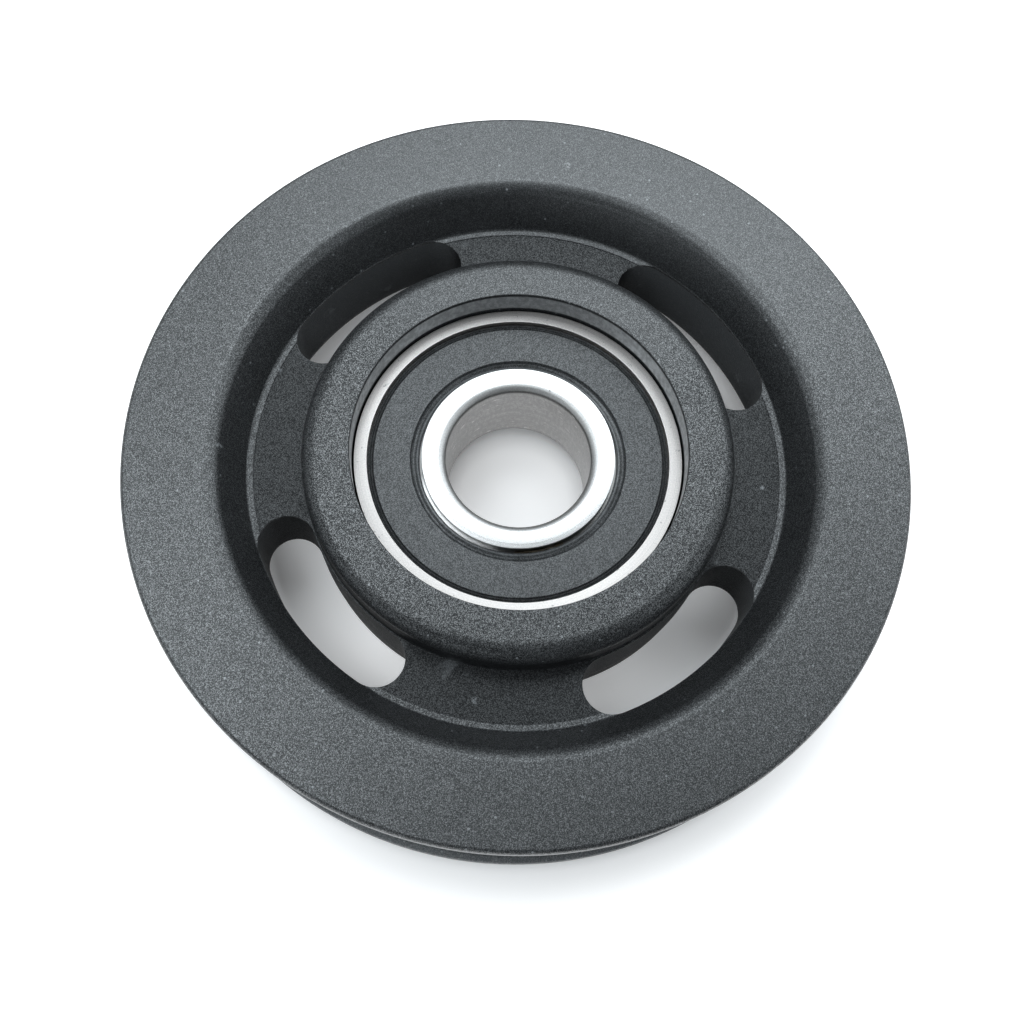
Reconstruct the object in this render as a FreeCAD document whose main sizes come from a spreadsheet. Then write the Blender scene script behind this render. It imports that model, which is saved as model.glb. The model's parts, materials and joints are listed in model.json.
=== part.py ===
"""Idler pulley: a moulded wheel with a cable groove, turning on a sealed ball bearing.

Sizes are in millimetres and degrees. The bore's axis is Z and the middle of the pulley is the origin.
Each piece is an object of one document, and its sizes are bound to the cells of one sheet.
"""
import FreeCAD
import Part
import Sketcher
import math
import os
from types import SimpleNamespace

SIZES = [
    # the moulded wheel
    ("wheel_diameter", 90.0, "across the flanges"),
    ("wheel_width", 19.0, "over the flange faces and the hub faces"),
    ("rim_edge_radius", 0.55, "rounding of the flanges' outer edges"),
    ("groove_root_diameter", 72.0, "across the bottom of the cable groove"),
    ("groove_root_radius", 4.0, "rounding at the bottom of the groove"),
    ("groove_wall_angle", 30.0, "each groove wall from the wheel's middle plane"),
    ("groove_lip_radius", 0.35, "rounding where a groove wall meets the outside"),
    ("dish_mouth_diameter", 69.4, "sharp corner between dish wall and flange face"),
    ("dish_mouth_radius", 1.5, "rounding of that corner"),
    ("dish_foot_diameter", 63.2, "foot of the sloping dish wall"),
    ("strip_diameter", 61.8, "inner edge of the raised strip at the wall's foot"),
    ("strip_height", 0.25, "height of the strip above the web"),
    ("web_thickness", 8.5, "web between hub and rim"),
    ("hub_diameter", 50.0, "outside of the hub"),
    ("hub_edge_radius", 2.0, "rounding of the hub's outer edge"),
    ("hub_foot_radius", 0.4, "rounding where the hub meets the web"),
    ("recess_diameter", 38.8, "opening in the hub above the bearing"),
    ("recess_edge_radius", 0.2, "rounding of the opening's edge"),
    ("slot_inner_radius", 25.2, "edge of the slots nearest the hub"),
    ("slot_outer_radius", 31.7, "edge of the slots nearest the rim"),
    ("slot_half_sweep", 17.4, "from a slot's middle to the centre of its round end"),
    ("slot_angle", 45.0, "from the X axis to the first slot's middle"),
    ("slot_count", 4, "slots around the web"),
    # the bearing's rings and balls
    ("bore_diameter", 17.0, "bore of the inner ring"),
    ("bearing_diameter", 40.0, "outside of the outer ring"),
    ("bearing_width", 12.0, "over the ring faces"),
    ("outer_chamfer", 0.8, "chamfer of the outer ring's outside edges"),
    ("bore_edge_radius", 1.0, "rounding of the bore's edges"),
    ("pitch_diameter", 28.5, "circle through the ball centres"),
    ("ball_diameter", 6.747, "diameter of a ball"),
    ("ball_count", 8, "balls around the bearing"),
    ("race_radius", 3.5, "cross-section radius of both raceways"),
    ("race_clearance", 0.04, "space between a ball and each raceway"),
    ("outer_land_diameter", 32.8, "land beside the outer raceway"),
    ("outer_mouth_diameter", 35.4, "inner edge of the outer ring's face"),
    ("seal_groove_diameter", 36.0, "undercut that holds the seal's rim"),
    ("seal_groove_depth", 0.9, "from the ring face to the undercut"),
    ("seal_seat_depth", 1.6, "from the ring face to the seal's seat"),
    ("inner_face_diameter", 22.6, "outer edge of the inner ring's face"),
    ("inner_neck_diameter", 22.7, "neck of the inner ring beside the face"),
    ("inner_land_diameter", 24.0, "land beside the inner raceway, where the lip runs"),
    ("inner_step_depth", 1.3, "from the ring face to the land"),
    # the rubber seals
    ("seal_face_depth", 0.6, "from the ring face to the seal's flat and the tops of its rim beads"),
    ("seal_flat_diameter", 33.9, "outer edge of the flat"),
    ("bead_pitch", 0.3, "radial step from one rim bead to the next"),
    ("bead_foot", 0.1, "radial run from the flat down to the first valley"),
    ("lip_root_diameter", 25.34, "inner edge of the flat"),
    ("lip_ridge_drop", 0.2, "from the flat to the top of a lip ridge"),
    ("lip_valley_drop", 0.35, "from the flat to the valleys between the ridges"),
    ("lip_pitch", 0.25, "radial step from ridge to valley"),
    ("lip_gap", 0.25, "space between the lip's edge and the inner ring's neck"),
    ("lip_clearance", 0.05, "space between the lip and the land it runs on"),
    # the pressed cage and its rivets
    ("cage_inner_diameter", 25.9, "inside of the cage ribbon"),
    ("cage_outer_diameter", 31.1, "outside of the cage ribbon"),
    ("cage_thickness", 0.6, "sheet thickness"),
    ("pocket_clearance", 0.1, "space between a ball and its pocket"),
    ("rivet_diameter", 1.0, "rivet shank"),
    ("rivet_head_diameter", 1.9, "rivet head at its foot"),
    ("rivet_top_diameter", 1.2, "rivet head at its top"),
    ("rivet_head_height", 0.4, "height of a head"),
]


class Size:
    """A size from the sheet, or one worked out from several: its number and the formula that binds it."""

    def __init__(self, number, formula):
        self.number = number
        self.formula = formula

    @staticmethod
    def of(value):
        if isinstance(value, Size):
            return value
        return Size(float(value), repr(float(value)))

    def __add__(self, other):
        other = Size.of(other)
        return Size(self.number + other.number, f"({self.formula} + {other.formula})")

    def __sub__(self, other):
        other = Size.of(other)
        return Size(self.number - other.number, f"({self.formula} - {other.formula})")

    def __mul__(self, other):
        other = Size.of(other)
        return Size(self.number * other.number, f"({self.formula} * {other.formula})")

    def __truediv__(self, other):
        other = Size.of(other)
        return Size(self.number / other.number, f"({self.formula} / {other.formula})")

    def __neg__(self):
        return Size(-self.number, f"(-1 * {self.formula})")


def make_sheet(doc):
    """Write the sizes into a sheet, and give them back by name."""
    sheet = doc.addObject("Spreadsheet::Sheet", "sizes")
    named = {}
    for row, (alias, number, note) in enumerate(SIZES, 1):
        sheet.set(f"A{row}", alias)
        sheet.set(f"B{row}", str(number))
        sheet.set(f"C{row}", note)
        sheet.setAlias(f"B{row}", alias)
        named[alias] = Size(float(number), f"sizes.{alias}")
    doc.recompute()
    return SimpleNamespace(**named)


def bind(item, prop, size):
    """Set a property from a size, and bind it to the sheet."""
    setattr(item, prop, size.number)
    item.setExpression(prop, size.formula)


def origin_feature(body, role):
    return next(item for item in body.Origin.OriginFeatures if item.Role == role)


def new_body(doc, label):
    body = doc.addObject("PartDesign::Body", label)
    body.Label = label
    return body


def new_sketch(body, name, role):
    sketch = body.newObject("Sketcher::SketchObject", name)
    sketch.AttachmentSupport = (origin_feature(body, role), [""])
    sketch.MapMode = "FlatFace"
    return sketch


def hold(sketch, geometry, point, direction, size):
    """Hold a point of the sketch at a distance from the sketch's origin."""
    first = (-1, 1)
    second = (geometry, point)
    if size.number < 0:
        first, second = second, first
        size = -size
    index = sketch.addConstraint(Sketcher.Constraint(direction, *first, *second, size.number))
    sketch.setExpression(f"Constraints[{index}]", size.formula)


def drive(sketch, kind, geometry, number, size):
    """Add a radius or an angle to the sketch, and bind it to the sheet."""
    index = sketch.addConstraint(Sketcher.Constraint(kind, geometry, number))
    sketch.setExpression(f"Constraints[{index}]", size.formula)


def add_loop(sketch, points):
    """Join the points by straight edges into a closed loop."""
    count = len(points)
    for place, start in enumerate(points):
        end = points[(place + 1) % count]
        sketch.addGeometry(Part.LineSegment(FreeCAD.Vector(*start, 0), FreeCAD.Vector(*end, 0)))
    for place in range(count):
        sketch.addConstraint(Sketcher.Constraint("Coincident", place, 2, (place + 1) % count, 1))


def draw_section(body, name, corners, symmetric):
    """Draw a section of (radius, height) corners; a symmetric one is repeated below the middle plane."""
    sketch = new_sketch(body, name, "XZ_Plane")
    points = [(radius.number, height.number) for radius, height in corners]
    if symmetric:
        points += [(radius, -height) for radius, height in reversed(points)]
    add_loop(sketch, points)
    last = len(points) - 1
    for place, (radius, height) in enumerate(corners):
        hold(sketch, place, 1, "DistanceX", radius)
        hold(sketch, place, 1, "DistanceY", height)
        if symmetric:
            sketch.addConstraint(Sketcher.Constraint("Symmetric", place, 1, last - place, 1, -1))
    return sketch


def add_circle(sketch, radius, centre=None):
    """Draw a circle around the origin, or around a point on the sketch's X axis."""
    middle = FreeCAD.Vector(centre.number if centre else 0, 0, 0)
    index = sketch.addGeometry(Part.Circle(middle, FreeCAD.Vector(0, 0, 1), radius.number))
    drive(sketch, "Radius", index, radius.number, radius)
    if centre:
        hold(sketch, index, 3, "DistanceX", centre)
        sketch.addConstraint(Sketcher.Constraint("PointOnObject", index, 3, -1))
    else:
        sketch.addConstraint(Sketcher.Constraint("Coincident", index, 3, -1, 1))


def revolve(doc, body, name, sketch, kind="Revolution", axis="V_Axis"):
    feature = body.newObject(f"PartDesign::{kind}", name)
    feature.Profile = sketch
    feature.ReferenceAxis = (sketch, [axis])
    feature.Angle = 360.0
    doc.recompute()
    return feature


def cut_through(doc, body, name, sketch):
    """Cut the sketch right through the body, both ways from the sketch's plane."""
    feature = body.newObject("PartDesign::Pocket", name)
    feature.Profile = sketch
    feature.Type = "ThroughAll"
    feature.SideType = "Symmetric"
    doc.recompute()
    return feature


def repeat_round(doc, body, name, feature, count):
    """Repeat a feature around the body's Z axis."""
    pattern = body.newObject("PartDesign::PolarPattern", name)
    pattern.Originals = [feature]
    pattern.Axis = (origin_feature(body, "Z_Axis"), [""])
    pattern.Angle = 360.0
    pattern.Occurrences = int(count.number)
    pattern.setExpression("Occurrences", count.formula)
    body.Tip = pattern
    doc.recompute()
    return pattern


def round_edges(doc, body, name, radius, edge_radius, edge_height):
    """Round the two circular edges at a radius and at plus and minus a height."""
    base = body.Tip
    found = []
    for number, edge in enumerate(base.Shape.Edges, 1):
        curve = edge.Curve
        if not isinstance(curve, Part.Circle):
            continue
        at_radius = abs(curve.Radius - edge_radius) < 0.001
        at_height = abs(abs(curve.Center.z) - edge_height) < 0.001
        if at_radius and at_height:
            found.append(f"Edge{number}")
    if len(found) != 2:
        raise ValueError(f"{name}: {len(found)} edges found where two were expected")
    feature = body.newObject("PartDesign::Fillet", name)
    feature.Base = (base, found)
    bind(feature, "Radius", radius)
    doc.recompute()
    return feature


def draw_groove(body, mm):
    """Section of the cable groove: two straight walls, tangent to a round root, open past the rim."""
    sketch = new_sketch(body, "groove_section", "XZ_Plane")
    angle = math.radians(mm.groove_wall_angle.number)
    root = mm.groove_root_radius
    centre = mm.groove_root_diameter / 2 + root
    mouth = mm.wheel_diameter / 2 + root
    touch_r = centre.number - root.number * math.sin(angle)
    touch_z = root.number * math.cos(angle)
    mouth_z = touch_z + (mouth.number - touch_r) * math.tan(angle)
    circle = Part.Circle(FreeCAD.Vector(centre.number, 0, 0), FreeCAD.Vector(0, 0, 1), root.number)
    turn = math.pi / 2 + angle
    arc = sketch.addGeometry(Part.ArcOfCircle(circle, math.pi - turn + angle * 2, math.pi + turn - angle * 2))
    upper_touch = FreeCAD.Vector(touch_r, touch_z, 0)
    lower_touch = FreeCAD.Vector(touch_r, -touch_z, 0)
    upper_mouth = FreeCAD.Vector(mouth.number, mouth_z, 0)
    lower_mouth = FreeCAD.Vector(mouth.number, -mouth_z, 0)
    upper = sketch.addGeometry(Part.LineSegment(upper_touch, upper_mouth))
    lower = sketch.addGeometry(Part.LineSegment(lower_touch, lower_mouth))
    close = sketch.addGeometry(Part.LineSegment(upper_mouth, lower_mouth))
    sketch.addConstraint(Sketcher.Constraint("Tangent", upper, 1, arc, 1))
    sketch.addConstraint(Sketcher.Constraint("Tangent", lower, 1, arc, 2))
    sketch.addConstraint(Sketcher.Constraint("Coincident", upper, 2, close, 1))
    sketch.addConstraint(Sketcher.Constraint("Coincident", lower, 2, close, 2))
    sketch.addConstraint(Sketcher.Constraint("Symmetric", upper, 2, lower, 2, -1))
    sketch.addConstraint(Sketcher.Constraint("PointOnObject", arc, 3, -1))
    drive(sketch, "Radius", arc, root.number, root)
    drive(sketch, "Angle", upper, angle, mm.groove_wall_angle)
    hold(sketch, arc, 3, "DistanceX", centre)
    hold(sketch, upper, 2, "DistanceX", mouth)
    return sketch


def draw_slot(body, mm):
    """Outline of a kidney slot around the sketch's X axis: two arcs about the origin and two round ends."""
    sketch = new_sketch(body, "slot_outline", "XY_Plane")
    up = FreeCAD.Vector(0, 0, 1)
    sweep = math.radians(mm.slot_half_sweep.number)
    inner = mm.slot_inner_radius.number
    outer = mm.slot_outer_radius.number
    middle = (inner + outer) / 2
    end = (outer - inner) / 2
    centres = []
    for side in (-1, 1):
        centres.append(FreeCAD.Vector(middle * math.cos(sweep), side * middle * math.sin(sweep), 0))
    outer_circle = Part.Circle(FreeCAD.Vector(), up, outer)
    inner_circle = Part.Circle(FreeCAD.Vector(), up, inner)
    first_circle = Part.Circle(centres[0], up, end)
    last_circle = Part.Circle(centres[1], up, end)
    outer_arc = sketch.addGeometry(Part.ArcOfCircle(outer_circle, -sweep, sweep))
    inner_arc = sketch.addGeometry(Part.ArcOfCircle(inner_circle, -sweep, sweep))
    first_end = sketch.addGeometry(Part.ArcOfCircle(first_circle, -sweep - math.pi, -sweep))
    last_end = sketch.addGeometry(Part.ArcOfCircle(last_circle, sweep, sweep + math.pi))
    for arc in (outer_arc, inner_arc):
        sketch.addConstraint(Sketcher.Constraint("Coincident", arc, 3, -1, 1))
    sketch.addConstraint(Sketcher.Constraint("Tangent", outer_arc, 1, first_end, 2))
    sketch.addConstraint(Sketcher.Constraint("Tangent", outer_arc, 2, last_end, 1))
    sketch.addConstraint(Sketcher.Constraint("Tangent", inner_arc, 1, first_end, 1))
    sketch.addConstraint(Sketcher.Constraint("Tangent", inner_arc, 2, last_end, 2))
    drive(sketch, "Radius", outer_arc, outer, mm.slot_outer_radius)
    drive(sketch, "Radius", inner_arc, inner, mm.slot_inner_radius)
    for arc, centre, turn, size in (
        (first_end, centres[0], -sweep, -mm.slot_half_sweep),
        (last_end, centres[1], sweep, mm.slot_half_sweep),
    ):
        ray = sketch.addGeometry(Part.LineSegment(FreeCAD.Vector(), centre), True)
        sketch.addConstraint(Sketcher.Constraint("Coincident", ray, 1, -1, 1))
        sketch.addConstraint(Sketcher.Constraint("Coincident", ray, 2, arc, 3))
        drive(sketch, "Angle", ray, turn, size)
    sketch.AttachmentOffset = FreeCAD.Placement(FreeCAD.Vector(), up, mm.slot_angle.number)
    sketch.setExpression("AttachmentOffset.Rotation.Angle", mm.slot_angle.formula)
    return sketch


def make_wheel(doc, mm):
    """The moulding: hub over the bearing, slotted web, dished rim with two flanges and the cable groove."""
    body = new_body(doc, "pulley_wheel")
    face = mm.wheel_width / 2
    web = mm.web_thickness / 2
    seat = mm.bearing_diameter / 2
    recess = mm.recess_diameter / 2
    seat_edge = mm.bearing_width / 2 - mm.outer_chamfer
    corners = [
        (seat, seat_edge),
        (recess, seat_edge + seat - recess),
        (recess, face),
        (mm.hub_diameter / 2, face),
        (mm.hub_diameter / 2, web),
        (mm.strip_diameter / 2, web),
        (mm.strip_diameter / 2, web + mm.strip_height),
        (mm.dish_foot_diameter / 2, web + mm.strip_height),
        (mm.dish_mouth_diameter / 2, face),
        (mm.wheel_diameter / 2, face),
    ]
    section = draw_section(body, "wheel_section", corners, True)
    revolve(doc, body, "wheel_blank", section)
    revolve(doc, body, "cable_groove", draw_groove(body, mm), "Groove")
    angle = math.radians(mm.groove_wall_angle.number)
    root = mm.groove_root_radius.number
    past_centre = mm.wheel_diameter.number / 2 - mm.groove_root_diameter.number / 2 - root
    lip = root / math.cos(angle) + past_centre * math.tan(angle)
    rim = mm.wheel_diameter.number / 2
    face_z = face.number
    web_z = web.number
    round_edges(doc, body, "hub_foot", mm.hub_foot_radius, mm.hub_diameter.number / 2, web_z)
    round_edges(doc, body, "hub_edge", mm.hub_edge_radius, mm.hub_diameter.number / 2, face_z)
    round_edges(doc, body, "recess_edge", mm.recess_edge_radius, recess.number, face_z)
    round_edges(doc, body, "dish_mouth", mm.dish_mouth_radius, mm.dish_mouth_diameter.number / 2, face_z)
    round_edges(doc, body, "rim_edge", mm.rim_edge_radius, rim, face_z)
    round_edges(doc, body, "groove_lip", mm.groove_lip_radius, rim, lip)
    slot = cut_through(doc, body, "web_slot", draw_slot(body, mm))
    repeat_round(doc, body, "web_slots", slot, mm.slot_count)
    return body


def cut_raceway(doc, body, circle_radius, mm):
    race = body.newObject("PartDesign::SubtractiveTorus", f"{body.Name}_race")
    bind(race, "Radius1", circle_radius)
    bind(race, "Radius2", mm.race_radius)
    doc.recompute()


def make_outer_ring(doc, mm):
    body = new_body(doc, "bearing_outer_ring")
    face = mm.bearing_width / 2
    outside = mm.bearing_diameter / 2
    mouth = mm.outer_mouth_diameter / 2
    undercut = mm.seal_groove_diameter / 2
    corners = [
        (outside, face - mm.outer_chamfer),
        (outside - mm.outer_chamfer, face),
        (mouth, face),
        (mouth, face - mm.seal_groove_depth),
        (undercut, face - mm.seal_groove_depth),
        (undercut, face - mm.seal_seat_depth),
        (mm.outer_land_diameter / 2, face - mm.seal_seat_depth),
    ]
    revolve(doc, body, "outer_ring_blank", draw_section(body, "outer_ring_section", corners, True))
    contact = (mm.pitch_diameter + mm.ball_diameter) / 2 + mm.race_clearance
    cut_raceway(doc, body, contact - mm.race_radius, mm)
    return body


def make_inner_ring(doc, mm):
    body = new_body(doc, "bearing_inner_ring")
    face = mm.bearing_width / 2
    bore = mm.bore_diameter / 2
    neck = mm.inner_neck_diameter / 2
    face_edge = mm.inner_face_diameter / 2
    land = face - mm.inner_step_depth
    corners = [
        (bore, face),
        (face_edge, face),
        (neck, face - neck + face_edge),
        (neck, land),
        (mm.inner_land_diameter / 2, land),
    ]
    revolve(doc, body, "inner_ring_blank", draw_section(body, "inner_ring_section", corners, True))
    contact = (mm.pitch_diameter - mm.ball_diameter) / 2 - mm.race_clearance
    cut_raceway(doc, body, contact + mm.race_radius, mm)
    round_edges(doc, body, "bore_edge", mm.bore_edge_radius, bore.number, face.number)
    return body


def make_seal(doc, mm):
    """The upper seal: a beaded rim in the outer ring, a flat, and a ridged lip on the inner ring's land."""
    body = new_body(doc, "seal_upper")
    face = mm.bearing_width / 2
    seat = face - mm.seal_seat_depth
    undercut = face - mm.seal_groove_depth
    rim = mm.seal_groove_diameter / 2
    flat = face - mm.seal_face_depth
    flat_edge = mm.seal_flat_diameter / 2
    first_valley = flat_edge + mm.bead_foot
    bead = mm.bead_pitch
    root = mm.lip_root_diameter / 2
    ridge = flat - mm.lip_ridge_drop
    valley = flat - mm.lip_valley_drop
    step = mm.lip_pitch
    lip_edge = mm.inner_neck_diameter / 2 + mm.lip_gap
    lip_under = face - mm.inner_step_depth + mm.lip_clearance
    lip_heel = mm.inner_land_diameter / 2 + mm.lip_clearance
    corners = [
        (rim, seat),
        (rim, undercut),
        (first_valley + bead * 2, undercut),
        (first_valley + bead * 1.5, flat),
        (first_valley + bead, undercut),
        (first_valley + bead / 2, flat),
        (first_valley, undercut),
        (flat_edge, flat),
        (root, flat),
        (root - step / 2, valley),
        (root - step * 1.5, ridge),
        (root - step * 2.5, valley),
        (root - step * 3.5, ridge),
        (lip_edge, valley),
        (lip_edge, lip_under),
        (lip_heel, lip_under),
        (lip_heel + lip_under - seat, seat),
    ]
    revolve(doc, body, "seal_turned", draw_section(body, "seal_section", corners, False))
    return body


def make_balls(doc, mm):
    """The balls, spaced evenly and half a step away from the X axis."""
    balls = []
    count = int(mm.ball_count.number)
    for place in range(count):
        label = f"bearing_ball_{place + 1}"
        ball = doc.addObject("Part::Sphere", label)
        ball.Label = label
        bind(ball, "Radius", mm.ball_diameter / 2)
        turn = f"360 * {place + 0.5} / sizes.ball_count"
        ball.setExpression("Placement.Base.x", f"sizes.pitch_diameter / 2 * cos({turn})")
        ball.setExpression("Placement.Base.y", f"sizes.pitch_diameter / 2 * sin({turn})")
        balls.append(ball)
    doc.recompute()
    return balls


def add_sphere(doc, body, kind, name, radius):
    """Add or take away a sphere at the first ball's place."""
    sphere = body.newObject(f"PartDesign::{kind}", name)
    bind(sphere, "Radius", radius)
    turn = "180 / sizes.ball_count"
    sphere.setExpression("Placement.Base.x", f"sizes.pitch_diameter / 2 * cos({turn})")
    sphere.setExpression("Placement.Base.y", f"sizes.pitch_diameter / 2 * sin({turn})")
    doc.recompute()
    return sphere


def make_cage(doc, mm):
    """The upper cage half: a flat ribbon pressed up into round ball pockets, with rivet holes between them."""
    body = new_body(doc, "cage_upper_half")
    inner = mm.cage_inner_diameter / 2
    outer = mm.cage_outer_diameter / 2
    space = mm.ball_diameter / 2 + mm.pocket_clearance
    clear = mm.bearing_diameter / 2
    ribbon_outline = new_sketch(body, "ribbon_outline", "XY_Plane")
    add_circle(ribbon_outline, inner)
    add_circle(ribbon_outline, outer)
    ribbon = body.newObject("PartDesign::Pad", "ribbon")
    ribbon.Profile = ribbon_outline
    bind(ribbon, "Length", mm.cage_thickness)
    doc.recompute()
    dome = add_sphere(doc, body, "AdditiveSphere", "pocket_dome", space + mm.cage_thickness)
    repeat_round(doc, body, "pocket_domes", dome, mm.ball_count)
    trim_outline = new_sketch(body, "trim_outline", "XY_Plane")
    add_circle(trim_outline, inner)
    add_circle(trim_outline, outer)
    add_circle(trim_outline, clear)
    cut_through(doc, body, "ribbon_trim", trim_outline)
    split_outline = new_sketch(body, "split_outline", "XY_Plane")
    add_circle(split_outline, clear)
    split = body.newObject("PartDesign::Pocket", "half_split")
    split.Profile = split_outline
    bind(split, "Length", mm.bearing_width)
    doc.recompute()
    ball_space = add_sphere(doc, body, "SubtractiveSphere", "ball_space", space)
    repeat_round(doc, body, "ball_spaces", ball_space, mm.ball_count)
    hole_outline = new_sketch(body, "hole_outline", "XY_Plane")
    add_circle(hole_outline, mm.rivet_diameter / 2, mm.pitch_diameter / 2)
    hole = cut_through(doc, body, "rivet_hole", hole_outline)
    repeat_round(doc, body, "rivet_holes", hole, mm.ball_count)
    return body


def make_rivets(doc, mm):
    """The rivets, one between every two balls, with a head on each side of the cage."""
    body = new_body(doc, "cage_rivets")
    pitch = mm.pitch_diameter / 2
    sheet = mm.cage_thickness
    top = sheet + mm.rivet_head_height
    sketch = new_sketch(body, "rivet_section", "XZ_Plane")
    corners = [
        (pitch, top),
        (pitch + mm.rivet_top_diameter / 2, top),
        (pitch + mm.rivet_head_diameter / 2, sheet),
        (pitch + mm.rivet_diameter / 2, sheet),
    ]
    points = [(radius.number, height.number) for radius, height in corners]
    points += [(radius, -height) for radius, height in reversed(points)]
    add_loop(sketch, points)
    last = len(points) - 1
    for place, (radius, height) in enumerate(corners):
        hold(sketch, place, 1, "DistanceX", radius)
        hold(sketch, place, 1, "DistanceY", height)
        sketch.addConstraint(Sketcher.Constraint("Symmetric", place, 1, last - place, 1, -1))
    start = FreeCAD.Vector(points[0][0], points[0][1], 0)
    end = FreeCAD.Vector(points[-1][0], points[-1][1], 0)
    axis = sketch.addGeometry(Part.LineSegment(start, end), True)
    sketch.addConstraint(Sketcher.Constraint("Coincident", axis, 1, 0, 1))
    sketch.addConstraint(Sketcher.Constraint("Coincident", axis, 2, last, 1))
    rivet = revolve(doc, body, "rivet", sketch, axis="Axis0")
    repeat_round(doc, body, "rivets", rivet, mm.ball_count)
    return body


def mirror_below(doc, source, label):
    """The same piece on the other side of the middle plane."""
    mirror = doc.addObject("Part::Mirroring", label)
    mirror.Label = label
    mirror.Source = source
    mirror.Normal = FreeCAD.Vector(0, 0, 1)
    doc.recompute()
    return mirror


def check_document(doc):
    for item in doc.Objects:
        if "Invalid" in item.State or "Error" in item.State:
            raise ValueError(f"{item.Label} did not build: {item.State}")


def write_pieces(pieces):
    os.makedirs("parts", exist_ok=True)
    for piece in pieces:
        shape = piece.Shape
        if shape.isNull() or not shape.isValid():
            raise ValueError(f"{piece.Label} has no valid shape")
        shape.exportStep(f"parts/{piece.Label}.step")
        print(f"{piece.Label}: {len(shape.Solids)} solid(s), {shape.Volume:.2f} mm3")


def main():
    doc = FreeCAD.newDocument("idler_pulley")
    mm = make_sheet(doc)
    seal = make_seal(doc, mm)
    cage = make_cage(doc, mm)
    pieces = [
        make_wheel(doc, mm),
        make_outer_ring(doc, mm),
        make_inner_ring(doc, mm),
        *make_balls(doc, mm),
        cage,
        mirror_below(doc, cage, "cage_lower_half"),
        make_rivets(doc, mm),
        seal,
        mirror_below(doc, seal, "seal_lower"),
    ]
    doc.recompute()
    check_document(doc)
    write_pieces(pieces)


main()
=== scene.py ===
"""Looks of the idler pulley: moulded wheel, ground bearing rings, rubber seals, grease and studio."""
import json
import math
import bmesh
import bpy
from bpy.props import FloatProperty, FloatVectorProperty, IntProperty, PointerProperty
from mathutils import Matrix, Vector, noise


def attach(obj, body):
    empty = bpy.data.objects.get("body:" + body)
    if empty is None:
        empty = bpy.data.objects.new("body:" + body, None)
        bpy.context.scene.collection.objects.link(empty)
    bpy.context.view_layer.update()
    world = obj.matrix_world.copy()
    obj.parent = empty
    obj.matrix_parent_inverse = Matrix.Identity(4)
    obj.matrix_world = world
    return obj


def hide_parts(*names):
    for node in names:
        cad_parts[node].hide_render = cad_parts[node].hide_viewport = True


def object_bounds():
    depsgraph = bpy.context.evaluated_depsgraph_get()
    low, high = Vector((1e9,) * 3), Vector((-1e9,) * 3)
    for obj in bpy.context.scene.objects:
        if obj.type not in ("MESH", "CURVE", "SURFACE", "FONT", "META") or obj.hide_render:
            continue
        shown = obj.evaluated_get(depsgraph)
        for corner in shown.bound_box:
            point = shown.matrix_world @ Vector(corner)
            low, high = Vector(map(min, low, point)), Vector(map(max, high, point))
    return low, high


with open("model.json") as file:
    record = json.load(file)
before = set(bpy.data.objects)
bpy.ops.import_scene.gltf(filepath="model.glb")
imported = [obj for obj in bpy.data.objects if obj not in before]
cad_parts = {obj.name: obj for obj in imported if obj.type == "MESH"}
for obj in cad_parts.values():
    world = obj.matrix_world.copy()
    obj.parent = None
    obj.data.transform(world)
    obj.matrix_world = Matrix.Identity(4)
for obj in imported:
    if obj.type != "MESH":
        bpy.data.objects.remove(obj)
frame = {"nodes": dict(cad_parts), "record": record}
CAD_BOX = [list(corner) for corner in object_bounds()]

bl_info = {
    "name": "Idler Pulley",
    "version": (1, 0, 0),
    "blender": (4, 5, 0),
    "location": "View3D > Sidebar > Pulley",
    "description": "Builds the visible pieces and finishes of an idler pulley around its solid model",
    "category": "Object",
}

MM = 0.001

# Lamps: name, azimuth and elevation in degrees, watts. The far side of the picture is at 90 degrees.
SOFTBOXES = (
    ("softbox_far", 90.0, 62.0, 1.13),
    ("softbox_left", 180.0, 62.0, 1.02),
    ("softbox_right", 45.0, 40.0, 0.74),
)
FILL = ("fill_near", 270.0, 50.0, 1.2)
LAMP_SIZE = 0.3
LAMP_DISTANCE = 0.55

# Dark cloths in the white tent: name, azimuths and elevations in degrees.
CLOTHS = (
    ("cloth_near", (210.0, 330.0), (28.0, 77.0)),
    ("cloth_near_low", (270.0, 330.0), (0.0, 28.0)),
    ("cloth_far_low", (30.0, 150.0), (0.0, 28.0)),
    ("cloth_left", (150.0, 210.0), (28.0, 48.0)),
    ("cloth_far_high", (45.0, 135.0), (64.0, 77.0)),
    ("cloth_right_high", (-45.0, 45.0), (56.0, 77.0)),
    ("cloth_overhead", (0.0, 360.0), (77.0, 90.0)),
)
CLOTH_DISTANCE = 0.9
CLOTH_RISE_STEPS = 12
CLOTH_TURN_STEPS = 24

# Level of the tent's light on matt surfaces. The background and reflections show it at 1.
TENT_SHADE = 0.2

# Marks on the moulding: x, y and reach in millimetres.
NICKS = (
    (-5.5, 39.7, 0.4),
    (1.9, 38.4, 0.6),
    (-34.0, -3.9, 0.4),
    (-1.7, -28.7, 0.5),
    (-29.8, 8.4, 0.3),
    (29.0, 0.2, 0.4),
)

# Glow of the floor, which paints pools of light and shadows on it: radius in millimetres, level.
FLOOR_GLOW = (
    (0.0, 0.43),
    (7.0, 0.38),
    (9.0, 0.2),
    (10.2, 0.02),
    (22.0, 0.1),
    (24.5, 0.52),
    (27.5, 0.46),
    (31.0, 0.26),
    (33.0, 0.16),
    (44.6, 0.12),
    (46.0, 0.44),
    (56.0, 0.9),
)
GLOW_REACH = 60.0 * MM
FLOOR_HALF_SIZE = 3.0
FLOOR_GAP = 2e-5

# Directions around the bore's axis, in degrees; they place painted light and shade by side, and the far
# side also sets where the grain is finer.
FAR_SIDE = 90.0
# Side towards which the dish mouth keeps its sheen; away from it the sheen is painted darker.
MOUTH_SHEEN = 110.0
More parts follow.
